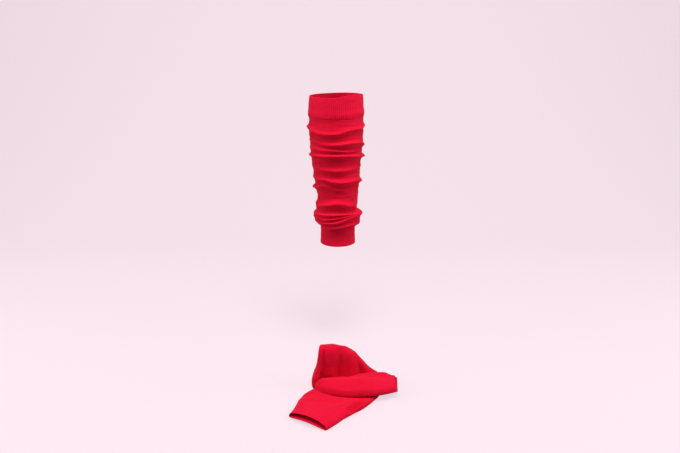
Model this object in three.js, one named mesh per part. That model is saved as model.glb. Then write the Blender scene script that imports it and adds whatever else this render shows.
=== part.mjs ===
// A pair of fine-knit leg warmers, in millimetres, +Z up.
// One is worn: a hollow slouched tube between a ribbed top cuff and a ribbed ankle cuff.
// The other lies folded on the floor, with one cuff open in front and part of the leg standing up.
// The origin is on the leg's axis, halfway up the worn ankle cuff.
import * as THREE from 'three';

// ---- Driving dimensions -------------------------------------------------------------------
const WALL = 1.6; // knitted cloth, with the loft of its loops
const SEAM_GAP = 0.3; // clearance between two sewn pieces
const FLOOR_Z = -275; // the worn hem hangs 250 above the floor
const ANKLE_HEM_Z = -25;
const ANKLE_TOP_Z = 25;
const TOP_SEAM_Z = 247; // where the top cuff is sewn to the leg
const UNDER_SEAM_Z = 243.5; // narrow neck just under that seam
const UNDER_SEAM_REACH = 0.2;
const SLOPE_START_Z = 240; // where the cloth starts out towards the first fold
const AROUND = 32; // segments round the worn tube

// ---- Colours ------------------------------------------------------------------------------
const jersey = new THREE.MeshStandardMaterial({ color: 0xd21437, roughness: 0.85, metalness: 0 });
const rib = new THREE.MeshStandardMaterial({ color: 0xc81232, roughness: 0.88, metalness: 0 });

// ---- Small helpers ------------------------------------------------------------------------
const radians = (degrees) => (degrees * Math.PI) / 180;
const mix = (a, b, t) => a + (b - a) * t;

// Linear reading of a short table of [position, value] rows, in rising positions.
function readTable(rows, position) {
  if (position <= rows[0][0]) return rows[0][1];
  for (let i = 1; i < rows.length; i += 1) {
    const [p0, v0] = rows[i - 1];
    const [p1, v1] = rows[i];
    if (position <= p1) return mix(v0, v1, (position - p0) / (p1 - p0));
  }
  return rows[rows.length - 1][1];
}

// The nine places round the tube that the fold table names, by angle from the right-hand side.
//               right, back right, back left, left, left front, front left, front, front right, right front
const PLACES = [0, 60, 120, 180, 210, 240, 270, 300, 330];

// Smooth closed reading of nine values round the tube (cubic, through every value).
function around(values, degrees) {
  if (typeof values === 'number') return values;
  const n = PLACES.length;
  const turn = ((degrees % 360) + 360) % 360;
  let i = n - 1;
  while (PLACES[i] > turn) i -= 1;
  const place = (k) => PLACES[((k % n) + n) % n] + 360 * Math.floor(k / n);
  const value = (k) => values[((k % n) + n) % n];
  const slope = (k) => (value(k + 1) - value(k - 1)) / (place(k + 1) - place(k - 1));
  const span = place(i + 1) - place(i);
  const t = (turn - place(i)) / span;
  const t2 = t * t;
  const t3 = t2 * t;
  return (2 * t3 - 3 * t2 + 1) * value(i) + (t3 - 2 * t2 + t) * span * slope(i)
    + (3 * t2 - 2 * t3) * value(i + 1) + (t3 - t2) * span * slope(i + 1);
}

// Turns rings of points into a closed surface. Each ring holds the same number of points,
// counter-clockwise seen from the end of the list. Without caps the last ring meets the first.
function skin(name, rings, material, capped) {
  const n = rings[0].length;
  const positions = rings.flat().flat();
  const index = [];
  const bands = capped ? rings.length - 1 : rings.length;
  for (let r = 0; r < bands; r += 1) {
    const next = (r + 1) % rings.length;
    for (let i = 0; i < n; i += 1) {
      const j = (i + 1) % n;
      const a = r * n + i;
      const b = r * n + j;
      const c = next * n + j;
      const d = next * n + i;
      index.push(a, b, c, a, c, d);
    }
  }
  if (capped) {
    const centre = (ring) => ring.reduce((s, p) => s.map((v, k) => v + p[k] / n), [0, 0, 0]);
    const first = positions.length / 3;
    positions.push(...centre(rings[0]), ...centre(rings[rings.length - 1]));
    const last = (rings.length - 1) * n;
    for (let i = 0; i < n; i += 1) {
      const j = (i + 1) % n;
      index.push(first, j, i);
      index.push(first + 1, last + i, last + j);
    }
  }
  const geometry = new THREE.BufferGeometry();
  geometry.setAttribute('position', new THREE.Float32BufferAttribute(positions, 3));
  geometry.setIndex(index);
  geometry.computeVertexNormals();
  const mesh = new THREE.Mesh(geometry, material);
  mesh.name = name;
  return mesh;
}

// ---- The worn leg warmer ------------------------------------------------------------------
// Half-width of the cloth where it lies against the limb, by height.
const HALF_WIDTH = [
  [-25, 38], [0, 37], [15, 38.6], [54, 42], [81, 43.1], [111, 47], [137, 49.7],
  [160, 51.9], [175, 53.7], [216, 56.5], [243, 55.9], [290, 55.2],
];
const CENTRE_X = [[80, 0], [150, -3]]; // the calf leans a little to the left
const FRONT_DEPTH = 0.98; // the shin is slightly flatter than the sides
const CALF = { height: 200, reach: 70, bulge: 6 }; // fuller behind, round the calf

// One row for each fold, from the top down. Its crest stands `reach` beyond the half-width, and
// `trough` is the height of the hollow under it, which stands `under` beyond the half-width.
const FOLDS = [
  { // gathered under the seam
    crest: [231, 226, 222, 227.6, 222.5, 218.5, 218.5, 226, 227.5],
    reach: [4.3, 3.2, 4.2, 5.6, 4, 3.2, 3, 3.2, 3.6],
    trough: [222, 216, 213, 216, 215, 211.8, 211.2, 217, 215.5],
    under: 0,
  },
  { // faint, left and back
    crest: [212, 210, 208, 210.2, 209, 206, 206, 211, 211],
    reach: [0.3, 1.2, 1.6, 1.5, 1, 0.4, 0.2, 0.2, 0.2],
    trough: [207, 206, 204, 206.3, 205, 202.5, 203, 207.5, 207],
    under: 0,
  },
  { // broad, rising to the right
    crest: [189, 195, 199, 203, 200.5, 197, 197.7, 200.4, 197],
    reach: [5.3, 3.5, 2, 0.3, 0.4, 1.6, 3, 3.6, 3.8],
    trough: [182.5, 188, 193, 198, 197, 192.3, 188.7, 185, 184.3],
    under: 0,
  },
  { // thin ridge over the ring
    crest: [179, 181, 184, 182, 184, 185.3, 185.2, 181.8, 180.5],
    reach: [0.3, 1.2, 2.2, 1.5, 1.6, 2, 2.3, 1.6, 0.8],
    trough: [174.5, 175.5, 177, 175.5, 177, 178.4, 180, 178.5, 176.5],
    under: 0,
  },
  { // sharp ring, all round
    crest: [165.5, 169, 170.5, 168, 170.9, 173.4, 175, 173.7, 169.5],
    reach: [8.5, 4.5, 4.2, 5.6, 4.4, 3.8, 3.5, 3.8, 5],
    trough: [160, 163, 164, 160.5, 165.3, 165.6, 165.5, 164.8, 161],
    under: 0,
  },
  { // soft swell
    crest: [148, 144, 146, 150, 146, 143, 142, 143.5, 146],
    reach: [0.8, 1.4, 1.6, 1.2, 1.2, 1.5, 1.9, 1.6, 1],
    trough: [134, 132, 131, 137, 132, 130, 130, 131.5, 133],
    under: 0,
  },
  { // broad, dropping to the right
    crest: [111.6, 116, 121, 122, 121.3, 123, 118.5, 118.2, 117.5],
    reach: [6.5, 4.2, 3.4, 2.9, 3, 3.2, 3.6, 4, 4.6],
    trough: [105, 108, 112, 110.5, 109, 116, 108.7, 106.5, 106],
    under: 0,
  },
  { // roll on the left that fades across the front
    crest: [98, 98, 101, 99, 104, 110, 103.5, 101, 100],
    reach: [0.3, 2, 5, 8.1, 5.5, 2.6, 0.8, 0.3, 0.2],
    trough: [90, 91, 91, 88, 93.4, 94.8, 92.3, 92, 91],
    under: 0,
  },
  { // last full fold above the bundle
    crest: [57.5, 62, 66, 63, 61.5, 67.3, 72, 66.6, 60],
    reach: [0, 2.5, 4.5, 5.4, 4.2, 4.2, 4.6, 3.6, 1.5],
    trough: [50.5, 51, 52, 51.5, 51.3, 54.2, 53, 50, 48.5],
    under: [-1.5, 0.5, 2.5, 4.6, 2.5, 0.8, 0, 0, -0.5],
  },
  { // top of the bundle
    crest: [47.2, 46, 44, 42, 44, 46, 47.5, 46.8, 46.2],
    reach: [4, 6, 8.5, 11, 8.5, 6, 4, 4.5, 5.5],
    trough: [45.6, 43, 40, 38, 39.6, 40, 43.5, 45.4, 45.2],
    under: [7, 6.5, 8, 11.2, 7.6, 5, 3.4, 5, 6.8],
  },
  { // middle of the bundle
    crest: [44.2, 41, 36.5, 34.5, 34.8, 35.4, 40, 44, 44.3],
    reach: [10.5, 9, 9.5, 11.8, 9, 7.2, 5, 6.4, 8.6],
    trough: [43.4, 38, 32, 30, 30, 30.2, 36, 43, 43.7],
    under: [11.4, 8.3, 8.5, 10.4, 7.6, 4.8, 3.8, 6.4, 8.9],
  },
  { // slanting edge that climbs to the right
    crest: [42, 35, 27, 24, 24.5, 27.5, 32, 41, 43],
    reach: [12.2, 9.5, 8.5, 9.2, 8.2, 7.4, 7.6, 7.6, 9.2],
    trough: [28, 25, 22.5, 21.5, 21.8, 20.5, 23, 28, 27],
    under: [8.3, 7.4, 7, 7.4, 7.2, 6.3, 6.2, 6.4, 6.8],
  },
];

// Lowest edge of the cloth that bags over the ankle cuff, before it turns up inside.
const BAG_EDGE_Z = [14.6, 14.4, 14.4, 14.6, 16.8, 11.5, 14.6, 17.6, 15.2];
const BAG_ROLL = [9.3, 7.5, 6.5, 6.3, 6, 5.2, 5.6, 6.4, 7.6]; // how far the roll above it stands out
const ROLL_HEIGHT = 4.5;
// The turn from the bag's lowest edge up beside the ankle cuff: out from the cuff, up from the edge.
const BAG_TURN = [
  { out: 4.6, up: 0.7 },
  { out: 2.6, up: 0 },
  { out: 0.7, up: 0.9 },
  { out: 0, up: 3 },
];

// Rim of the top cuff, which dips in front and rises at the front right.
const RIM_Z = [292.5, 291, 289.5, 290, 290, 290, 290.6, 295, 294.8];

// How far the top cuff stands out, from the rim down, on its left and its right.
const TOP_CUFF = [
  { down: 0, left: 0, right: 0 },
  { down: 0.37, left: 1.6, right: 0.8 },
  { down: 0.78, left: 2.8, right: 2.5 },
  { down: 0.92, left: 3, right: 1.6 },
  { down: 1, left: 1.2, right: 0.6 },
];

// A point of the worn tube, from its angle, its height and how far it stands out.
function wornPoint(degrees, z, out) {
  const half = readTable(HALF_WIDTH, z) + out;
  const angle = radians(degrees);
  const behind = Math.sin(angle) > 0;
  const calf = behind ? CALF.bulge * Math.exp(-(((z - CALF.height) / CALF.reach) ** 2)) : 0;
  const depth = behind ? half + calf : half * FRONT_DEPTH;
  return [readTable(CENTRE_X, z) + half * Math.cos(angle), depth * Math.sin(angle), z];
}

// Outer profile of the leg at one angle, from the seam down: heights and how far each stands out.
function legProfile(degrees) {
  const profile = [
    { z: TOP_SEAM_Z - SEAM_GAP / 2, out: cuffReach(degrees, TOP_CUFF[TOP_CUFF.length - 1]) },
    { z: UNDER_SEAM_Z, out: UNDER_SEAM_REACH },
  ];
  let above = SLOPE_START_Z;
  FOLDS.forEach((fold) => {
    const crest = around(fold.crest, degrees);
    const reach = around(fold.reach, degrees);
    const trough = around(fold.trough, degrees);
    const under = around(fold.under, degrees);
    const start = profile[profile.length - 1].out;
    profile.push({ z: mix(crest, above, 0.45), out: mix(start, reach, 0.45) });
    profile.push({ z: crest, out: reach });
    profile.push({ z: mix(crest, trough, 0.5), out: mix(under, reach, 0.55) });
    profile.push({ z: trough, out: under });
    above = trough;
  });
  const edge = around(BAG_EDGE_Z, degrees);
  profile.push({ z: edge + ROLL_HEIGHT, out: around(BAG_ROLL, degrees) });
  return profile;
}

function cuffReach(degrees, row) {
  const toLeft = (1 - Math.cos(radians(degrees))) / 2;
  return mix(row.right, row.left, toLeft);
}

// Moves a profile of [distance out, height] points inwards by the wall, square to itself.
function offsetProfile(points, wall) {
  return points.map(([r, z], i) => {
    const before = points[Math.max(i - 1, 0)];
    const after = points[Math.min(i + 1, points.length - 1)];
    const dr = after[0] - before[0];
    const dz = after[1] - before[1];
    const length = Math.hypot(dr, dz) || 1;
    return [r + (dz / length) * wall, z - (dr / length) * wall];
  });
}

const tubeAngles = Array.from({ length: AROUND }, (_, i) => (360 * i) / AROUND);

// Builds a tube wall from a function that gives, for an angle, its outer profile from the top down.
function tubeWall(name, outerProfile, material) {
  const outer = tubeAngles.map((angle) => outerProfile(angle));
  const inner = outer.map((points) => offsetProfile(points, WALL));
  const rows = outer[0].length;
  const ring = (profiles, row) => tubeAngles.map((angle, i) => {
    const [out, z] = profiles[i][row];
    return wornPoint(angle, z, out - readTable(HALF_WIDTH, z));
  });
  const rings = [];
  for (let row = rows - 1; row >= 0; row -= 1) rings.push(ring(outer, row));
  for (let row = 0; row < rows; row += 1) rings.push(ring(inner, row));
  return skin(name, rings, material, false);
}

const wornTopCuff = tubeWall('worn_top_cuff', (angle) => {
  const rim = around(RIM_Z, angle);
  const bottom = TOP_SEAM_Z + SEAM_GAP / 2;
  return TOP_CUFF.map((row) => {
    const z = mix(rim, bottom, row.down);
    return [readTable(HALF_WIDTH, z) + cuffReach(angle, row), z];
  });
}, rib);

const ANKLE_RADIUS = 37.4; // outside of the ankle cuff under the bag
const wornLeg = tubeWall('worn_leg', (angle) => {
  const points = legProfile(angle).map(({ z, out }) => [readTable(HALF_WIDTH, z) + out, z]);
  const edge = around(BAG_EDGE_Z, angle);
  const inside = ANKLE_RADIUS + SEAM_GAP;
  BAG_TURN.forEach(({ out, up }) => points.push([inside + out, edge + up]));
  points.push([inside, ANKLE_TOP_Z]);
  return points;
}, jersey);

const ANKLE_CUFF = [
  [ANKLE_TOP_Z, ANKLE_RADIUS], [15, ANKLE_RADIUS], [0, 37], [-14, 37.3], [ANKLE_HEM_Z, 38],
];
const wornAnkleCuff = tubeWall('worn_ankle_cuff', () => (
  ANKLE_CUFF.map(([z, radius]) => [radius, z])
), rib);

// ---- The folded leg warmer ----------------------------------------------------------------
// It runs back from its open cuff, turns under, stands up in a fold, and comes down again across
// the first run to its other cuff. Heights in these tables are above the floor.
const RUN_POINTS = 20; // points round a flattened section
const EDGE_HEIGHT = 2.5; // half the thickness of a folded edge
const LOWER_TOP = 12; // the lower run, where other layers lie on it
const LAYER_BASE = LOWER_TOP + SEAM_GAP;

// Open front cuff: its two folded edges on plan, the crown of its upper layer, and how far its
// lower layer lifts off the floor.
const FRONT_CUFF = [
  { left: [-92, -285], right: [-19, -342], base: 0, top: 17.5, lift: 8 },
  { left: [-85, -274], right: [-9, -330], base: 0, top: 16.5, lift: 5 },
  { left: [-80, -260], right: [1, -318], base: 0, top: 15.5, lift: 2 },
  { left: [-76, -247], right: [10, -307], base: 0, top: 15, lift: 0 },
];
const LOWER_RUN = [
  { left: [-75.8, -246.7], right: [10.2, -306.7], base: 0, top: 15, lift: 0 },
  { left: [-66, -225], right: [28, -286], base: 0, top: LOWER_TOP, lift: 0 },
  { left: [-50, -208], right: [48, -264], base: 0, top: LOWER_TOP, lift: 0 },
  { left: [-34, -186], right: [68, -240], base: 0, top: LOWER_TOP, lift: 0 },
  { left: [-22, -165], right: [84, -222], base: 0, top: LOWER_TOP, lift: 0 },
  { left: [-6, -158], right: [86, -206], base: 0, top: LOWER_TOP, lift: 0 },
];
// Upper run, from its curled left end to the seam of the end cuff: left is its back edge.
const UPPER_RUN = [
  { left: [-34, -204], right: [-36, -226], base: LAYER_BASE, top: 24, lift: 0 },
  { left: [-26, -197], right: [-28, -236], base: LAYER_BASE, top: 29, lift: 0 },
  { left: [-10, -193], right: [-10, -243], base: LAYER_BASE, top: 31, lift: 0 },
  { left: [20, -192], right: [22, -248], base: LAYER_BASE, top: 31, lift: 0 },
  { left: [45, -191], right: [47, -247], base: LAYER_BASE, top: 30, lift: 0 },
  { left: [68, -182], right: [70, -245], base: LAYER_BASE, top: 29, lift: 0 },
];
const END_CUFF = [
  { left: [68.3, -182], right: [70.3, -245], base: LAYER_BASE, top: 29, lift: 0 },
  { left: [86, -180], right: [88, -241], base: LAYER_BASE, top: 28, lift: 0 },
  { left: [100, -179], right: [103, -236], base: 10.5, top: 26, lift: 0 },
  { left: [111, -179], right: [115, -230], base: 9, top: 24.5, lift: 0 },
];
// Standing fold, from its left lobe on the floor to where it slopes down into the upper run.
const STANDING_FOLD = [
  { x: -52, front: -190, back: -173, base: 5, top: 18 },
  { x: -48, front: -196, back: -168, base: 0, top: 40 },
  { x: -43, front: -195, back: -166, base: 0, top: 68 },
  { x: -40, front: -193, back: -166, base: LAYER_BASE, top: 86 },
  { x: -34, front: -191.5, back: -165, base: LAYER_BASE, top: 90 },
  { x: -10, front: -191.5, back: -164, base: LAYER_BASE, top: 91 },
  { x: 15, front: -191, back: -165, base: LAYER_BASE, top: 87 },
  { x: 36, front: -190, back: -166, base: LAYER_BASE, top: 74 },
  { x: 50, front: -187, back: -167, base: LAYER_BASE, top: 56 },
  { x: 62, front: -182, back: -168, base: LAYER_BASE, top: 40 },
  { x: 69, front: -179, back: -169, base: LAYER_BASE, top: 32 },
];

const sectionAngles = Array.from({ length: RUN_POINTS }, (_, i) => (2 * Math.PI * i) / RUN_POINTS);

// Section of a flattened tube, standing across its two folded edges. The inner face of a wall is
// the same section with its edges and layers drawn in by `inset`.
function flatRing(row, inset) {
  const [lx, ly] = row.left;
  const [rx, ry] = row.right;
  const width = Math.hypot(lx - rx, ly - ry);
  const reach = 1 - (2 * inset) / width;
  return sectionAngles.map((angle) => {
    const across = Math.cos(angle);
    const rise = Math.sin(angle);
    const crown = Math.max(0, 1 - across ** 4) ** 0.8;
    const arch = Math.max(0, 1 - across ** 2) ** 0.8;
    const middle = row.base + EDGE_HEIGHT;
    const upper = row.base + 2 * EDGE_HEIGHT + (row.top - row.base - 2 * EDGE_HEIGHT) * crown;
    const lower = row.base + row.lift * arch;
    const layer = rise >= 0 ? upper - inset : lower + inset;
    const share = Math.min(1, 2.2 * Math.abs(rise)) ** 0.6;
    const t = (1 + reach * across) / 2;
    return [mix(rx, lx, t), mix(ry, ly, t), FLOOR_Z + mix(middle, layer, share)];
  });
}

// Section of the standing fold: a slab with a rounded top and a squarer base.
function standingRing(row) {
  const halfDepth = (row.back - row.front) / 2;
  const halfHeight = (row.top - row.base) / 2;
  const bend = (value, power) => Math.sign(value) * Math.abs(value) ** power;
  return sectionAngles.map((angle) => {
    const rise = Math.sin(angle);
    return [
      row.x,
      (row.front + row.back) / 2 + halfDepth * bend(Math.cos(angle), rise < 0 ? 0.3 : 0.8),
      FLOOR_Z + row.base + halfHeight + halfHeight * bend(rise, rise < 0 ? 0.3 : 0.6),
    ];
  });
}

function flatWall(name, rows, material) {
  const outer = rows.map((row) => flatRing(row, 0));
  const inner = rows.map((row) => flatRing(row, WALL)).reverse();
  return skin(name, [...outer, ...inner], material, false);
}

const foldedFrontCuff = flatWall('folded_front_cuff', FRONT_CUFF, rib);
const foldedEndCuff = flatWall('folded_end_cuff', END_CUFF, rib);
const foldedLowerRun = skin(
  'folded_lower_run', LOWER_RUN.map((row) => flatRing(row, 0)), jersey, true,
);
const foldedUpperRun = skin(
  'folded_upper_run', UPPER_RUN.map((row) => flatRing(row, 0)), jersey, true,
);
const foldedStandingFold = skin(
  'folded_standing_fold', STANDING_FOLD.map(standingRing), jersey, true,
);

const group = new THREE.Group();
group.add(wornTopCuff, wornLeg, wornAnkleCuff);
group.add(foldedFrontCuff, foldedLowerRun, foldedStandingFold, foldedUpperRun, foldedEndCuff);

export default group;
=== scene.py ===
import math

import bpy
import numpy as np
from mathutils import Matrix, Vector


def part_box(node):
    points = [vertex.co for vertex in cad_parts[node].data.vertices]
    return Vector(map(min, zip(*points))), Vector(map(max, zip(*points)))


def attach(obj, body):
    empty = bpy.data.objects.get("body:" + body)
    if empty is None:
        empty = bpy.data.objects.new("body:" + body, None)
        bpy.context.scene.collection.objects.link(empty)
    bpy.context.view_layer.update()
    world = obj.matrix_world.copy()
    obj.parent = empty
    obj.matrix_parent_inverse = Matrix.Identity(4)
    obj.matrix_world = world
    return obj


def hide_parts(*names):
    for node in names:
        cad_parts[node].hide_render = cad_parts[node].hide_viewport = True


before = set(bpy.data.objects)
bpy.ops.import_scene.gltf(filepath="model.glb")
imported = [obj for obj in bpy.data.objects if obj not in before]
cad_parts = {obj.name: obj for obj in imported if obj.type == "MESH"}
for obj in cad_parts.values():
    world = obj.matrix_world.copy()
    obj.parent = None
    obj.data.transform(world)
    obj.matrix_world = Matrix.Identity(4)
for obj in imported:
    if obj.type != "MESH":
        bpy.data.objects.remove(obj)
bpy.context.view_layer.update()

MM = 0.001

# ---- Driving sizes, in millimetres -----------------------------------------------------------
WALL = 1.5
FLOOR_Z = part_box("folded_lower_run")[0][2] / MM
ANKLE_HEM_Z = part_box("worn_ankle_cuff")[0][2] / MM
ANKLE_TOP_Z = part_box("worn_ankle_cuff")[1][2] / MM
TOP_SEAM_Z = 247.0
SEAM_GAP = 0.3
FLAT_ROUND = 225.0  # the relaxed tube, all round
CUFF_CUT = 50.0
LEG_CUT = 340.0

# ---- The worn tube: the CAD solids' named tables, with a fuller edge to the bag ----------------
HALF_WIDTH = np.array([
    [-25, 38], [0, 37], [15, 38.6], [54, 42], [81, 43.1], [111, 47], [137, 49.7],
    [160, 51.9], [175, 53.7], [216, 56.5], [243, 55.9], [290, 55.2]], float)
CENTRE_X = np.array([[80, 0], [150, -3]], float)
FRONT_DEPTH = 0.98
CALF_HEIGHT, CALF_REACH, CALF_BULGE = 200.0, 70.0, 6.0

# Places round the tube, by angle from its right-hand side:
# right, back right, back left, left, left front, front left, front, front right, right front.
PLACES = np.array([0, 60, 120, 180, 210, 240, 270, 300, 330], float)

# One row for each fold, from the top down: the height of its crest, how far the crest stands out,
# the height of the hollow under it and how far that hollow stands out.
FOLDS = [
    {"crest": [231, 226, 222, 227.6, 222.5, 218.5, 218.5, 226, 227.5],
     "reach": [4.3, 3.2, 4.2, 5.6, 4, 3.2, 3, 3.2, 3.6],
     "trough": [222, 216, 213, 216, 215, 211.8, 211.2, 217, 215.5], "under": 0},
    {"crest": [212, 210, 208, 210.2, 209, 206, 206, 211, 211],
     "reach": [0.3, 1.2, 1.6, 1.5, 1, 0.4, 0.2, 0.2, 0.2],
     "trough": [207, 206, 204, 206.3, 205, 202.5, 203, 207.5, 207], "under": 0},
    {"crest": [189, 195, 199, 203, 200.5, 197, 197.7, 200.4, 197],
     "reach": [5.3, 3.5, 2, 0.3, 0.4, 1.6, 3, 3.6, 3.8],
     "trough": [182.5, 188, 193, 198, 197, 192.3, 188.7, 185, 184.3], "under": 0},
    {"crest": [179, 181, 184, 182, 184, 185.3, 185.2, 181.8, 180.5],
     "reach": [0.3, 1.2, 2.2, 1.5, 1.6, 2, 2.3, 1.6, 0.8],
     "trough": [174.5, 175.5, 177, 175.5, 177, 178.4, 180, 178.5, 176.5], "under": 0},
    {"crest": [165.5, 169, 170.5, 168, 170.9, 173.4, 175, 173.7, 169.5],
     "reach": [8.5, 4.5, 4.2, 5.6, 4.4, 3.8, 3.5, 3.8, 5],
     "trough": [160, 163, 164, 160.5, 165.3, 165.6, 165.5, 164.8, 161], "under": 0},
    {"crest": [148, 144, 146, 150, 146, 143, 142, 143.5, 146],
     "reach": [0.8, 1.4, 1.6, 1.2, 1.2, 1.5, 1.9, 1.6, 1],
     "trough": [134, 132, 131, 137, 132, 130, 130, 131.5, 133], "under": 0},
    {"crest": [111.6, 116, 121, 122, 121.3, 123, 118.5, 118.2, 117.5],
     "reach": [6.5, 4.2, 3.4, 2.9, 3, 3.2, 3.6, 4, 4.6],
     "trough": [105, 108, 112, 110.5, 109, 116, 108.7, 106.5, 106], "under": 0},
    {"crest": [98, 98, 101, 99, 104, 110, 103.5, 101, 100],
     "reach": [0.3, 2, 5, 8.1, 5.5, 2.6, 0.8, 0.3, 0.2],
     "trough": [90, 91, 91, 88, 93.4, 94.8, 92.3, 92, 91], "under": 0},
    {"crest": [57.5, 62, 66, 63, 61.5, 67.3, 72, 66.6, 60],
     "reach": [0, 2.5, 4.5, 5.4, 4.2, 4.2, 4.6, 3.6, 1.5],
     "trough": [50.5, 51, 52, 51.5, 51.3, 54.2, 53, 50, 48.5],
     "under": [-1.5, 0.5, 2.5, 4.6, 2.5, 0.8, 0, 0, -0.5]},
    {"crest": [47.2, 46, 44, 42, 44, 46, 47.5, 46.8, 46.2],
     "reach": [4, 6, 8.5, 11, 8.5, 6, 4, 4.5, 5.5],
     "trough": [45.6, 43, 40, 38, 39.6, 40, 43.5, 45.4, 45.2],
     "under": [7, 6.5, 8, 11.2, 7.6, 5, 3.4, 5, 6.8]},
    {"crest": [44.2, 41, 36.5, 34.5, 34.8, 35.4, 40, 44, 44.3],
     "reach": [10.5, 9, 9.5, 11.8, 9, 7.2, 5, 6.4, 8.6],
     "trough": [43.4, 38, 32, 30, 30, 30.2, 36, 43, 43.7],
     "under": [11.4, 8.3, 8.5, 10.4, 7.6, 4.8, 3.8, 6.4, 8.9]},
    {"crest": [42, 35, 27, 24, 24.5, 27.5, 32, 41, 43],
     "reach": [12.2, 9.5, 8.5, 9.2, 8.2, 7.4, 7.6, 7.6, 9.2],
     "trough": [28, 25, 22.5, 21.5, 21.8, 20.5, 23, 28, 27],
     "under": [8.3, 7.4, 7, 7.4, 7.2, 6.3, 6.2, 6.4, 6.8]},
]
BAG_EDGE_Z = [14.6, 14.4, 14.4, 14.6, 16.8, 11.5, 14.6, 17.6, 15.2]
BAG_ROLL = [9.3, 8, 8, 6.6, 6.8, 8.8, 10.5, 10.5, 8.8]
ROLL_HEIGHT = 4.5
BAG_TURN = [(4.6, 0.7), (2.6, 0), (0.7, 0.9), (0, 3)]  # out from the cuff, up from the edge
ANKLE_RADIUS = 37.4
RIM_Z = [292.5, 291, 289.5, 290, 290, 290, 290.6, 295, 294.8]
TOP_CUFF = [(0, 0, 0), (0.37, 1.6, 0.8), (0.78, 2.8, 2.5), (0.92, 3, 1.6), (1, 1.2, 0.6)]
ANKLE_CUFF = [(ANKLE_TOP_Z, ANKLE_RADIUS), (15, ANKLE_RADIUS), (0, 37), (-14, 37.3),
              (ANKLE_HEM_Z, 38)]


def around(values, degrees):
    """Smooth closed reading of nine values round the tube."""
    if np.isscalar(values):
        return np.full_like(degrees, float(values))
    n = len(PLACES)
    values = np.asarray(values, float)
    turn = np.mod(degrees, 360)
    i = np.searchsorted(PLACES, turn, side="right") - 1

    def place(k):
        return PLACES[k % n] + 360 * (k // n)

    def slope(k):
        return (values[(k + 1) % n] - values[(k - 1) % n]) / (place(k + 1) - place(k - 1))

    span = place(i + 1) - place(i)
    t = (turn - place(i)) / span
    t2, t3 = t * t, t * t * t
    return ((2 * t3 - 3 * t2 + 1) * values[i] + (t3 - 2 * t2 + t) * span * slope(i)
            + (3 * t2 - 2 * t3) * values[(i + 1) % n] + (t3 - t2) * span * slope(i + 1))


def half_width(z):
    return np.interp(z, HALF_WIDTH[:, 0], HALF_WIDTH[:, 1])


def smooth_step(t):
    t = np.clip(t, 0, 1)
    return t * t * (3 - 2 * t)


# ---- Mesh helpers --------------------------------------------------------------------------
def evenly(points, count):
    """Resamples profiles (angles, points, 2) at even steps along each."""
    steps = np.linalg.norm(np.diff(points, axis=1), axis=2)
    along = np.concatenate([np.zeros((len(points), 1)), np.cumsum(steps, axis=1)], axis=1)
    result = np.empty((len(points), count, 2))
    for a in range(len(points)):
        want = np.linspace(0, along[a, -1], count)
        result[a, :, 0] = np.interp(want, along[a], points[a, :, 0])
        result[a, :, 1] = np.interp(want, along[a], points[a, :, 1])
    return result


def relax(points, passes):
    """Rounds profiles off along their length, keeping their ends."""
    for _ in range(passes):
        middle = (points[:, :-2] + 2 * points[:, 1:-1] + points[:, 2:]) / 4
        points = np.concatenate([points[:, :1], middle, points[:, -1:]], axis=1)
    return points


def inwards(points, wall):
    """The profiles moved in by the wall, square to themselves."""
    run = np.gradient(points, axis=1)
    length = np.maximum(np.linalg.norm(run, axis=2, keepdims=True), 1e-6)
    run = run / length
    return points + wall * np.stack([run[..., 1], -run[..., 0]], axis=2)


def worn_points(degrees, profile):
    """Places profiles of (radius, height) round the limb: (rows, angles, 3)."""
    radius, z = profile[..., 0].T, profile[..., 1].T
    angle = np.radians(degrees)[None, :]
    behind = np.sin(angle) > 0
    calf = CALF_BULGE * np.exp(-(((z - CALF_HEIGHT) / CALF_REACH) ** 2))
    depth = np.where(behind, radius + calf, radius * FRONT_DEPTH)
    x = np.interp(z, CENTRE_X[:, 0], CENTRE_X[:, 1]) + radius * np.cos(angle)
    return np.stack([x, depth * np.sin(angle), z], axis=2)


def ring_mesh(name, rings, material, u_size, v_values):
    """Closed surface through rings (rows, points, 3); the last ring meets the first."""
    rows, n = rings.shape[:2]
    row = np.arange(rows)[:, None]
    col = np.arange(n)[None, :]
    nxt = (row + 1) % rows
    c2 = (col + 1) % n
    quads = np.stack([row * n + col, row * n + c2, nxt * n + c2, nxt * n + col], axis=2)
    mesh = bpy.data.meshes.new(name)
    mesh.from_pydata((rings.reshape(-1, 3) * MM).tolist(), [], quads.reshape(-1, 4).tolist())
    u0 = np.broadcast_to(col / n * u_size, (rows, n))
    u1 = np.broadcast_to((col + 1) / n * u_size, (rows, n))
    v0 = np.broadcast_to(v_values[:, None], (rows, n))
    v1 = np.broadcast_to(np.roll(v_values, -1)[:, None], (rows, n))
    uv = np.stack([u0, v0, u1, v0, u1, v1, u0, v1], axis=2).reshape(-1)
    mesh.uv_layers.new(name="knit").data.foreach_set("uv", uv.astype(np.float32))
    mesh.materials.append(material)
    mesh.shade_smooth()
    mesh.update()
    piece = bpy.data.objects.new(name, mesh)
    bpy.context.collection.objects.link(piece)
    return piece


def closed_wall(outer, inner):
    """Outer rings, a rounded edge, inner rings back, and the other rounded edge."""
    def lip(a, b, before):
        middle = (a + b) / 2
        push = middle - before
        length = np.maximum(np.linalg.norm(push, axis=1, keepdims=True), 1e-6)
        return middle + push / length * WALL * 0.35

    first = lip(outer[0], inner[0], (outer[1] + inner[1]) / 2)
    last = lip(outer[-1], inner[-1], (outer[-2] + inner[-2]) / 2)
    return np.concatenate([outer, last[None], inner[::-1], first[None]])


def wall_v(count, length):
    """How far along the cloth each ring of a closed wall lies."""
    v = np.linspace(0, length, count)
    return np.concatenate([v, [v[-1]], v[::-1], [v[0]]])


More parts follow.
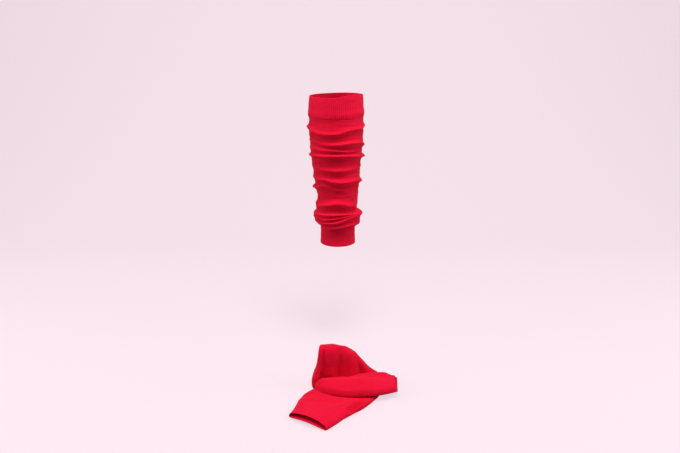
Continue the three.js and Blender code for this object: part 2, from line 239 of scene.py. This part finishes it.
# ---- Materials -----------------------------------------------------------------------------
# Wales and courses in metres; the rises are shares of the bump, and the shade share is how much of
# the colour is painted darker in the grooves between wales, as painted shade.
JERSEY_KNIT = {"wale": 0.0015, "course": 0.0012, "wale_rise": 0.6, "loop_rise": 0.3,
               "bump": 0.0003, "painted_groove_shade": 0.3}
RIB_KNIT = {"wale": 0.0025, "course": 0.0013, "wale_rise": 1.0, "loop_rise": 0.18,
            "bump": 0.0005, "painted_groove_shade": 0.75}
LOOP_LEAN = 2.6  # how far each course dips between two wales, in radians of its wave
NAP_SCALE, NAP_DETAIL, NAP_RISE = 900, 3, 0.7
DYE_SCALE, DYE_DETAIL, DYE_SHADE = 38, 4, 0.55
BUMP_STRENGTH = 0.55
# Places on the colour ramp of the painted shade in the grooves between wales and of the crest
# colour.
SHADED_GROOVE_AT, CREST_AT = 0.1, 0.95


def knit_material(name, knit, crest_rgb, shaded_groove_rgb):
    """Knitted cloth: loops from the UV layout in metres, soft nap, slight dye variation and painted
    shade in the grooves between wales.
    """
    material = bpy.data.materials.new(name)
    material.use_nodes = True
    tree = material.node_tree
    nodes, links = tree.nodes, tree.links
    shader = nodes["Principled BSDF"]
    shader.inputs["Roughness"].default_value = 0.86
    shader.inputs["Specular IOR Level"].default_value = 0.12
    shader.inputs["Sheen Weight"].default_value = 0.12
    shader.inputs["Sheen Roughness"].default_value = 0.45
    shader.inputs["Sheen Tint"].default_value = (1.0, 0.25, 0.4, 1)

    def node(kind, **settings):
        made = nodes.new(kind)
        for key, value in settings.items():
            setattr(made, key, value)
        return made

    def math_node(operation, a, b=None):
        made = node("ShaderNodeMath", operation=operation)
        for socket, value in zip(made.inputs, (a, b)):
            if value is None:
                continue
            if isinstance(value, (int, float)):
                socket.default_value = value
            else:
                links.new(value, socket)
        return made.outputs[0]

    def noise(scale, detail):
        made = node("ShaderNodeTexNoise")
        made.inputs["Scale"].default_value = scale
        made.inputs["Detail"].default_value = detail
        links.new(place.outputs["Object"], made.inputs["Vector"])
        return made.outputs["Fac"]

    uv = node("ShaderNodeUVMap", uv_map="knit")
    split = node("ShaderNodeSeparateXYZ")
    links.new(uv.outputs[0], split.inputs[0])
    across, along = split.outputs[0], split.outputs[1]
    wave = math_node("SINE", math_node("MULTIPLY", across, math.pi / knit["wale"]))
    wales = math_node("ABSOLUTE", wave)
    turn = math_node("MULTIPLY", along, 2 * math.pi / knit["course"])
    loops = math_node("SINE", math_node("ADD", turn, math_node("MULTIPLY", wales, LOOP_LEAN)))
    height = math_node("ADD", math_node("MULTIPLY", wales, knit["wale_rise"]),
                       math_node("MULTIPLY", loops, knit["loop_rise"]))

    place = node("ShaderNodeTexCoord")
    nap = noise(NAP_SCALE, NAP_DETAIL)
    bump = node("ShaderNodeBump")
    bump.inputs["Strength"].default_value = BUMP_STRENGTH
    bump.inputs["Distance"].default_value = knit["bump"]
    links.new(math_node("ADD", height, math_node("MULTIPLY", nap, NAP_RISE)), bump.inputs["Height"])
    links.new(bump.outputs[0], shader.inputs["Normal"])

    dye = noise(DYE_SCALE, DYE_DETAIL)
    # Base colour: painted shade, darker in the grooves between wales, plus random dye tone.
    shade = math_node("ADD", math_node("MULTIPLY", wales, knit["painted_groove_shade"]),
                      math_node("MULTIPLY", dye, DYE_SHADE))
    ramp = node("ShaderNodeValToRGB")
    shaded_groove_stop, crest = ramp.color_ramp.elements
    shaded_groove_stop.position, crest.position = SHADED_GROOVE_AT, CREST_AT
    shaded_groove_stop.color = (*shaded_groove_rgb, 1)
    crest.color = (*crest_rgb, 1)
    links.new(shade, ramp.inputs[0])
    links.new(ramp.outputs[0], shader.inputs["Base Color"])
    return material


# Each material's crest colour, then the darker colour of the painted shade in its grooves.
JERSEY = knit_material("jersey_knit", JERSEY_KNIT, (0.80, 0.0025, 0.036), (0.66, 0.001, 0.022))
RIB = knit_material("rib_knit", RIB_KNIT, (0.78, 0.0025, 0.036), (0.64, 0.001, 0.022))

# ---- The worn leg warmer -------------------------------------------------------------------
WORN_AROUND = 184
DEGREES = np.arange(WORN_AROUND) * 360.0 / WORN_AROUND
TO_LEFT = (1 - np.cos(np.radians(DEGREES))) / 2  # 0 at the right-hand side, 1 at the left
LEG_SAMPLES, TOP_CUFF_SAMPLES, ANKLE_CUFF_SAMPLES = 205, 48, 52
CREST_GAIN = 1.12  # makes up for what rounding takes off each crest
# On the shin and the calf, crests stand out further than at the sides, by this share of their
# reach up to so many mm, and the hollows lie deeper by so many mm.
FACE_GAIN, FACE_GAIN_REACH = 1.0, 4
FACE_HOLLOW = 1.8
# Down from the hollow above to a crest: share of the way still to go, the most it may be in mm,
# and share of the rise that is done.
CREST_RISE = [(0.72, 13, 0.03), (0.42, 7.5, 0.12), (0.2, 3.6, 0.5), (0.08, 1.4, 0.86)]
# Down from a crest to its hollow: share of the way done and share of the rise that is left.
CREST_FALL = [(0.12, 0.9), (0.3, 0.45), (0.6, 0.04)]
LEG_START_Z = 243.5  # just under the top seam
FIRST_HOLLOW_Z = 240.0
RIPPLES, RIPPLE_HEIGHT = 26, 0.075


def wrinkles(degrees, z):
    """Small slack ripples between the folds, lying mostly round the tube."""
    generator = np.random.default_rng(7)
    total = np.zeros(np.broadcast(degrees, z).shape)
    for _ in range(RIPPLES):
        turns = generator.integers(1, 6)
        wave = generator.uniform(7, 20)
        phase = generator.uniform(0, 2 * math.pi, 2)
        sway = 1.3 * np.sin(turns * np.radians(degrees) + phase[1])
        ripple = np.sin(2 * math.pi * z / wave + phase[0] + sway)
        total += ripple * RIPPLE_HEIGHT * generator.uniform(0.5, 1.2)
    return total


def worn_leg_profiles():
    """From the top seam over every fold to the bag's edge, then back up inside to the ankle cuff."""
    _, seam_left, seam_right = TOP_CUFF[-1]
    heights = [np.full(WORN_AROUND, TOP_SEAM_Z - SEAM_GAP / 2), np.full(WORN_AROUND, LEG_START_Z)]
    outs = [seam_right + (seam_left - seam_right) * TO_LEFT, np.full(WORN_AROUND, 0.2)]
    above = np.full(WORN_AROUND, FIRST_HOLLOW_Z)
    facing = np.sin(np.radians(DEGREES)) ** 2
    for fold in FOLDS:
        crest = around(fold["crest"], DEGREES)
        reach = around(fold["reach"], DEGREES)
        reach = reach * CREST_GAIN + FACE_GAIN * facing * np.minimum(reach, FACE_GAIN_REACH)
        trough = around(fold["trough"], DEGREES)
        under = around(fold["under"], DEGREES) - FACE_HOLLOW * facing * np.minimum(1, reach / 3)
        start = outs[-1]
        for share, most, lift in CREST_RISE:
            heights.append(crest + np.minimum((above - crest) * share, most))
            outs.append(start + (reach - start) * lift)
        heights.append(crest)
        outs.append(reach)
        for share, left in CREST_FALL:
            heights.append(crest + (trough - crest) * share)
            outs.append(under + (reach - under) * left)
        heights.append(trough)
        outs.append(under)
        above = trough
    edge = around(BAG_EDGE_Z, DEGREES)
    heights.append(edge + ROLL_HEIGHT)
    outs.append(around(BAG_ROLL, DEGREES))
    z = np.stack(heights, axis=1)
    radius = half_width(z) + np.stack(outs, axis=1)
    inside = ANKLE_RADIUS + SEAM_GAP
    turn_z = np.stack([edge + up for _, up in BAG_TURN] + [np.full(WORN_AROUND, ANKLE_TOP_Z)], 1)
    turn_r = np.stack([np.full(WORN_AROUND, inside + out) for out, _ in BAG_TURN]
                      + [np.full(WORN_AROUND, inside)], 1)
    radius = np.concatenate([radius, turn_r], axis=1)
    z = np.concatenate([z, turn_z], axis=1)
    profile = relax(evenly(np.stack([radius, z], axis=2), LEG_SAMPLES), 3)
    calm = smooth_step((profile[..., 1] - 24) / 12) * smooth_step((244 - profile[..., 1]) / 10)
    profile[..., 0] += wrinkles(DEGREES[:, None], profile[..., 1]) * calm
    return profile


def worn_piece(name, profile, material, length):
    """A tube wall from outer profiles that run from the top down; length is its cut, in mm."""
    profile = profile[:, ::-1]
    inner = inwards(profile, -WALL)
    outer_rings = worn_points(DEGREES, profile)
    inner_rings = worn_points(DEGREES, inner)
    rings = closed_wall(outer_rings, inner_rings)
    return ring_mesh(name, rings, material, FLAT_ROUND * MM, wall_v(len(outer_rings), length * MM))


def top_cuff_profiles():
    """From the slack rim down to the top seam."""
    rim = around(RIM_Z, DEGREES)
    bottom = TOP_SEAM_Z + SEAM_GAP / 2
    points = []
    for down, left, right in TOP_CUFF:
        z = rim + (bottom - rim) * down
        points.append(np.stack([half_width(z) + right + (left - right) * TO_LEFT, z], axis=1))
    profile = relax(evenly(np.stack(points, axis=1), TOP_CUFF_SAMPLES), 6)
    sag = smooth_step((rim[:, None] - profile[..., 1]) / 10)
    profile[..., 0] += wrinkles(DEGREES[:, None] + 40, profile[..., 1] * 0.5) * 0.6 * sag
    return profile


def ankle_cuff_profiles():
    """From the cuff's top, hidden under the bag, down to its hem."""
    points = np.array([[radius, z] for z, radius in ANKLE_CUFF], float)
    profile = np.repeat(points[None], WORN_AROUND, axis=0)
    profile = relax(evenly(profile, ANKLE_CUFF_SAMPLES), 5)
    low = smooth_step((12 - profile[..., 1]) / 12)
    profile[..., 0] += wrinkles(DEGREES[:, None] + 90, profile[..., 1] * 0.6) * 0.4 * low
    return profile


worn_leg = worn_piece("worn_leg_cloth", worn_leg_profiles(), JERSEY, LEG_CUT)
worn_top_cuff = worn_piece("worn_top_cuff_cloth", top_cuff_profiles(), RIB, CUFF_CUT)
worn_ankle_cuff = worn_piece("worn_ankle_cuff_cloth", ankle_cuff_profiles(), RIB, CUFF_CUT)

# ---- The folded leg warmer -----------------------------------------------------------------
# Heights in these tables are above the floor. Each row is one section of a flattened tube.
LOWER_TOP = 12.0
LAYER_BASE = LOWER_TOP + SEAM_GAP
FLAT_POINTS = 144
FLAT_ROWS = 110
SLACK_WAVES = 14
FLAT_SLACK, STANDING_SLACK = 1.3, 1.5  # how far loose cloth waves, in mm
LOWEST_CREASE = 4.0  # creases leave the upper layer at least this far above its base
# left x, left y, right x, right y, base, top, lift of the lower layer's middle off its base,
# half-height of the folded edges
FRONT_CUFF = [
    (-91, -295, -19, -340, 0, 18, 7, 4.4),
    (-83, -278, -9, -330, 0, 17.5, 5, 4.6),
    (-79, -262, 1, -319, 0, 16.5, 1.5, 4.8),
    (-76, -247, 10, -308, 0, 16, 0, 5),
]
LOWER_RUN = [
    (-75.8, -246.7, 10.2, -307.7, 0, 16, 0, 5),
    (-66, -225, 30, -289, 0, 14.5, 0, 5.5),
    (-50, -208, 52, -270, 0, LOWER_TOP, 0, 5),
    (-34, -186, 71, -244, 0, LOWER_TOP, 0, 5),
    (-22, -165, 85, -224, 0, LOWER_TOP, 0, 5),
    (-6, -158, 86, -206, 0, LOWER_TOP, 0, 5),
]
UPPER_RUN = [
    (-46, -194, -45, -210, 2, 16, 0, 5),
    (-41, -193, -40, -220, 7, 24, 0, 6),
    (-30, -192, -30, -234, LAYER_BASE, 30, 0, 4.5),
    (-10, -190, -10, -243, LAYER_BASE, 33, 0, 4.5),
    (20, -189, 22, -248, LAYER_BASE, 33, 0, 4.5),
    (45, -186, 47, -247, LAYER_BASE, 32.5, 0, 4.5),
    (68, -181, 70, -245, LAYER_BASE, 32, 0, 4.5),
]
END_CUFF = [
    (68.3, -181, 70.3, -245, LAYER_BASE, 32, 0, 4.5),
    (88, -178, 88, -241, LAYER_BASE, 30, 0, 4.5),
    (106, -177, 103, -235, LAYER_BASE, 28, 0, 4.5),
    (121, -178, 118, -229, 13, 25.5, 0, 4),
]
# Creases on the upper layers: from, to, half-width, height (hollows are negative).
LOWER_CREASES = [
    ((-60, -262), (10, -268), 9, -2.2),
    ((-30, -300), (26, -262), 8, 1.6),
    ((24, -290), (46, -262), 3.6, -11),
    ((12, -292), (36, -258), 5.5, 4),
    ((38, -284), (60, -258), 5, 3.5),
    ((-70, -244), (-46, -228), 7, -2.4),
    ((-82, -282), (-58, -250), 8, 1.6),
    ((-46, -222), (0, -262), 8, 1.8),
]
UPPER_CREASES = [
    ((-20, -214), (60, -222), 12, 2.0),
    ((-30, -206), (30, -200), 6, -3),
    ((-42, -219), (-30, -214), 3.5, -6),
    ((-38, -206), (-22, -206), 4, 2),
    ((36, -187), (104, -186), 11, 6.5),
    ((40, -200), (96, -196), 7, -1.6),
    ((0, -238), (70, -236), 5, -1.2),
    ((64, -214), (104, -210), 9, 1.2),
]


def section_rows(rows, count):
    """A section table read evenly along the stretch, with its corners smoothed away."""
    table = np.array(rows, float)
    middle = (table[:, 0:2] + table[:, 2:4]) / 2
    along = np.concatenate([[0], np.cumsum(np.linalg.norm(np.diff(middle, axis=0), axis=1))])
    want = np.linspace(0, along[-1], count)
    dense = np.stack([np.interp(want, along, column) for column in table.T], axis=1)
    for _ in range(int(count * 0.9)):
        dense[1:-1] = (dense[:-2] + 2 * dense[1:-1] + dense[2:]) / 4
    return dense


def section_turn():
    """Where each point of a section lies across it (-1 right edge, 1 left) and above or below."""
    angle = np.linspace(0, 2 * math.pi, FLAT_POINTS, endpoint=False)[None, :]
    return np.cos(angle), np.sin(angle)


def flat_rings(rows, inset, crown_power):
    """Rings of a flattened tube, moved in by the inset; a low crown power rounds the top."""
    across, rise = section_turn()
    left_x, left_y, right_x, right_y, base, top, lift, edge = [
        rows[:, i:i + 1] for i in range(8)]
    width = np.hypot(left_x - right_x, left_y - right_y)
    crown = np.maximum(0, 1 - np.abs(across) ** 2.6) ** crown_power
    arch = np.maximum(0, 1 - across ** 2) ** 0.8
    upper = base + 2 * edge + (top - base - 2 * edge) * crown
    lower = base + lift * arch
    layer = np.where(rise >= 0, upper - inset, lower + inset)
    share = np.minimum(1, 2.2 * np.abs(rise)) ** 0.6
    t = (1 + (1 - 2 * inset / width) * across) / 2
    x = right_x + (left_x - right_x) * t
    y = right_y + (left_y - right_y) * t
    z = FLOOR_Z + base + edge + (layer - base - edge) * share
    return np.stack([x, y, z], axis=2)


def crease_height(x, y, creases):
    """Sum of soft ridges and troughs along straight lines, faded out at both ends of each."""
    total = np.zeros_like(x)
    for start, end, half, height in creases:
        ax, ay = start
        dx, dy = end[0] - ax, end[1] - ay
        length = math.hypot(dx, dy)
        t = ((x - ax) * dx + (y - ay) * dy) / length ** 2
        side = ((x - ax) * dy - (y - ay) * dx) / length
        ends = np.exp(-(np.maximum(0, np.abs(t - 0.5) - 0.35) / 0.18) ** 2)
        total += height * np.exp(-(side / half) ** 2) * ends
    return total


def slack(x, y, seed):
    """Long shallow waves of loose cloth, between -1 and 1."""
    generator = np.random.default_rng(seed)
    total = np.zeros_like(x)
    for _ in range(SLACK_WAVES):
        wave = generator.uniform(16, 60)
        heading = generator.uniform(0, math.pi)
        phase = generator.uniform(0, 2 * math.pi)
        distance = x * math.cos(heading) + y * math.sin(heading)
        total += np.sin(2 * math.pi * distance / wave + phase)
    return total / SLACK_WAVES


def flat_piece(name, table, material, creases, length, seed, crown_power, upper_back=0.0,
               lower_out=(0.0, 0.0)):
    """One folded stretch: a flattened tube wall with creases and slack in its upper layer.

    length is that of the cloth. At the last section the upper layer's edge lies upper_back further
    left, and at the first one the lower layer's edge lies further out, by x and y.
    """
    rows = section_rows(table, FLAT_ROWS)
    across, rise = section_turn()
    is_upper = rise > 0
    done = np.arange(FLAT_ROWS)[:, None] / (FLAT_ROWS - 1)
    upper_end = smooth_step((done - 0.5) * 2) * is_upper * (1 - 0.3 * across ** 2)
    lower_start = smooth_step(1 - done * 2) * ~is_upper * (1 - across ** 4)
    walls = []
    for inset in (0, WALL):
        rings = flat_rings(rows, inset, crown_power)
        lift = (crease_height(rings[..., 0], rings[..., 1], creases)
                + slack(rings[..., 0], rings[..., 1], seed) * FLAT_SLACK)
        height = rings[..., 2] - FLOOR_Z - rows[:, 4:5]
        lift = lift * smooth_step((height - 2.0) / 6) * is_upper
        lowest = np.minimum(height, LOWEST_CREASE - inset)
        rings[..., 2] += np.maximum(lift, lowest - height)
        rings[..., 0] += lower_out[0] * lower_start - upper_back * upper_end
        rings[..., 1] += lower_out[1] * lower_start
        walls.append(rings)
    rings = closed_wall(*walls)
    return ring_mesh(name, rings, material, FLAT_ROUND * MM, wall_v(FLAT_ROWS, length * MM))


front_cuff = flat_piece("folded_front_cuff_cloth", FRONT_CUFF, RIB, LOWER_CREASES,
                        length=45, seed=3, crown_power=0.9, lower_out=(-2.6, -4.0))
lower_run = flat_piece("folded_lower_run_cloth", LOWER_RUN, JERSEY, LOWER_CREASES,
                       length=130, seed=3, crown_power=0.9)
upper_run = flat_piece("folded_upper_run_cloth", UPPER_RUN, JERSEY, UPPER_CREASES,
                       length=110, seed=5, crown_power=0.6)
end_cuff = flat_piece("folded_end_cuff_cloth", END_CUFF, RIB, UPPER_CREASES,
                      length=45, seed=5, crown_power=0.6, upper_back=6.0)

STANDING_ROUND, STANDING_LENGTH = 180, 120
# The standing fold: x, front y, back y, base, top.
STANDING_FOLD = [
    (-52.5, -190, -176, 5, 17),
    (-51, -196, -172, 1, 24),
    (-48, -201, -168, 0.3, 33),
    (-44, -200, -167, 0.3, 42),
    (-40.5, -196, -166, 0.3, 58),
    (-38.5, -193, -166, LAYER_BASE, 82),
    (-36, -191.5, -165, LAYER_BASE, 89),
    (-28, -191.5, -165, LAYER_BASE, 90.5),
    (-10, -191.5, -164, LAYER_BASE, 91),
    (15, -191, -165, LAYER_BASE, 87),
    (36, -190, -166, LAYER_BASE, 74),
    (50, -187, -167, LAYER_BASE, 56),
    (62, -182, -168, LAYER_BASE, 41),
    (70, -180, -168, LAYER_BASE, 34),
    (80, -178, -170, LAYER_BASE, 28),
]
# Creases on the standing faces: from and to as (x, height), half-width, depth.
STANDING_CREASES = [
    ((-35, 84), (-42, 10), 4, 2.6),
    ((-27, 88), (-33, 20), 4, -3.0),
    ((-8, 92), (-16, 24), 8, 2.6),
    ((6, 88), (2, 24), 6, -2.6),
    ((22, 84), (26, 14), 8, 2.4),
    ((38, 70), (50, 14), 5, -2.6),
    ((50, 58), (66, 22), 5, 2.0),
]


def standing_rings(rows, inset):
    """Upright rounded sections along x, squarer at the foot than at the top."""
    side, rise = section_turn()
    x, front, back, base, top = [rows[:, i:i + 1] for i in range(5)]
    half_depth = np.maximum((back - front) / 2 - inset, 0.5)
    half_height = np.maximum((top - base) / 2 - inset, 0.5)
    side_power = np.where(rise < 0, 0.45, 0.8)
    rise_power = np.where(rise < 0, 0.45, 0.6)
    y = (front + back) / 2 + half_depth * np.sign(side) * np.abs(side) ** side_power
    z = FLOOR_Z + (base + top) / 2 + half_height * np.sign(rise) * np.abs(rise) ** rise_power
    return np.stack([np.broadcast_to(x, y.shape), y, z], axis=2)


def standing_piece(name):
    """The fold that stands up behind, with creases and slack pushed out of its two faces."""
    table = np.array(STANDING_FOLD, float)
    want = np.linspace(table[0, 0], table[-1, 0], FLAT_ROWS)
    rows = np.stack([np.interp(want, table[:, 0], column) for column in table.T], axis=1)
    for _ in range(2):
        rows[1:-1] = (rows[:-2] + 2 * rows[1:-1] + rows[2:]) / 4
    middle = (rows[:, 1:2] + rows[:, 2:3]) / 2
    walls = []
    for inset in (0, WALL):
        rings = standing_rings(rows, inset)
        x, y, z = rings[..., 0], rings[..., 1], rings[..., 2] - FLOOR_Z
        push = crease_height(x, z, STANDING_CREASES) + slack(x, z, 11) * STANDING_SLACK
        face = np.clip((y - middle) / 8, -1, 1)
        rings[..., 1] += push * face * smooth_step((z - 14) / 14)
        walls.append(rings)
    rings = closed_wall(*walls)
    return ring_mesh(name, rings, JERSEY, STANDING_ROUND * MM,
                     wall_v(FLAT_ROWS, STANDING_LENGTH * MM))


standing_fold = standing_piece("folded_standing_fold_cloth")

# ---- What each piece is --------------------------------------------------------------------
PIECES = [
    (worn_top_cuff, "worn_top_cuff", "rib_knit", (FLAT_ROUND, CUFF_CUT), "stretched", []),
    (worn_leg, "worn_leg", "jersey_knit", (FLAT_ROUND, LEG_CUT), "gathered", []),
    (worn_ankle_cuff, "worn_ankle_cuff", "rib_knit", (FLAT_ROUND, CUFF_CUT), "stretched", []),
    (front_cuff, "folded_front_cuff", "rib_knit", (FLAT_ROUND, CUFF_CUT), "folded", []),
    (lower_run, "folded_lower_run", "jersey_knit", (FLAT_ROUND, 120.0), "folded", []),
    (upper_run, "folded_upper_run", "jersey_knit", (150.0, 106.0), "folded",
     ["folded_lower_run_cloth"]),
    (end_cuff, "folded_end_cuff", "rib_knit", (150.0, 45.0), "folded", []),
    (standing_fold, "folded_standing_fold", "jersey_knit", (180.0, 105.0), "folded",
     ["folded_lower_run_cloth"]),
]
for piece, node_name, slot, (width, length), held, rests_on in PIECES:
    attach(piece, "root")
    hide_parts(node_name)

# ---- Studio --------------------------------------------------------------------------------
GLOW_SHARE = 0.5
CAMERA_PITCH = 17.2  # degrees below level


def sweep_material():
    """Pale pink paper: half its own glow to the camera, so it stays even and keeps the shadow."""
    material = bpy.data.materials.new("studio_paper")
    material.use_nodes = True
    nodes, links = material.node_tree.nodes, material.node_tree.links
    shader = nodes["Principled BSDF"]
    shader.inputs["Base Color"].default_value = (0.42, 0.34, 0.37, 1)
    shader.inputs["Roughness"].default_value = 1.0
    shader.inputs["Specular IOR Level"].default_value = 0.0
    glow = nodes.new("ShaderNodeEmission")
    glow.inputs["Color"].default_value = (1.0, 0.84, 0.906, 1)
    glow.inputs["Strength"].default_value = 1.47
    path = nodes.new("ShaderNodeLightPath")
    share = nodes.new("ShaderNodeMath")
    share.operation = "MULTIPLY"
    share.inputs[1].default_value = GLOW_SHARE
    mix = nodes.new("ShaderNodeMixShader")
    links.new(path.outputs["Is Camera Ray"], share.inputs[0])
    links.new(share.outputs[0], mix.inputs[0])
    links.new(shader.outputs[0], mix.inputs[1])
    links.new(glow.outputs[0], mix.inputs[2])
    links.new(mix.outputs[0], nodes["Material Output"].inputs["Surface"])
    return material


def studio_sweep():
    floor = FLOOR_Z * MM
    bend, back, near, top, half = 0.9, 1.6, -3.5, 3.5, 4.5
    bend_steps = 16
    profile = [(near, floor), (back - bend, floor)]
    for step in range(1, bend_steps + 1):
        angle = math.pi / 2 * step / bend_steps
        profile.append((back - bend + bend * math.sin(angle), floor + bend * (1 - math.cos(angle))))
    profile.append((back, top))
    vertices = [(x, y, z) for y, z in profile for x in (-half, half)]
    faces = [(2 * i, 2 * i + 1, 2 * i + 3, 2 * i + 2) for i in range(len(profile) - 1)]
    mesh = bpy.data.meshes.new("studio_sweep")
    mesh.from_pydata(vertices, [], faces)
    mesh.materials.append(sweep_material())
    mesh.shade_smooth()
    sweep = bpy.data.objects.new("studio_sweep", mesh)
    bpy.context.collection.objects.link(sweep)


def area_light(name, place, aim, size, watts):
    data = bpy.data.lights.new(name, "AREA")
    data.shape = "RECTANGLE"
    data.size, data.size_y = size
    data.energy = watts
    light = bpy.data.objects.new(name, data)
    light.location = place
    light.rotation_euler = (Vector(aim) - Vector(place)).to_track_quat("-Z", "Y").to_euler()
    bpy.context.collection.objects.link(light)


studio_sweep()
area_light("right_softbox", (1.5, -0.35, 0.7), (0, -0.1, 0), (0.6, 1.2), 13)
area_light("left_softbox", (-1.5, -0.35, 0.7), (0, -0.1, 0), (0.6, 1.2), 14)
area_light("top_softbox", (0.15, -0.75, 1.9), (0, -0.1, 0), (0.9, 0.7), 38)

world = bpy.data.worlds.new("studio")
bpy.context.scene.world = world
world.use_nodes = True
surroundings = world.node_tree.nodes["Background"]
surroundings.inputs["Color"].default_value = (1.0, 0.93, 0.95, 1)
surroundings.inputs["Strength"].default_value = 0.12

camera_data = bpy.data.cameras.new("camera")
camera_data.lens = 35
camera_data.sensor_width = 36
camera = bpy.data.objects.new("camera", camera_data)
camera.location = (0.0048, -1.375, 0.4345)
camera.rotation_euler = (math.radians(90 - CAMERA_PITCH), 0, 0)
bpy.context.collection.objects.link(camera)
bpy.context.scene.camera = camera
bpy.context.scene.view_settings.view_transform = "Standard"
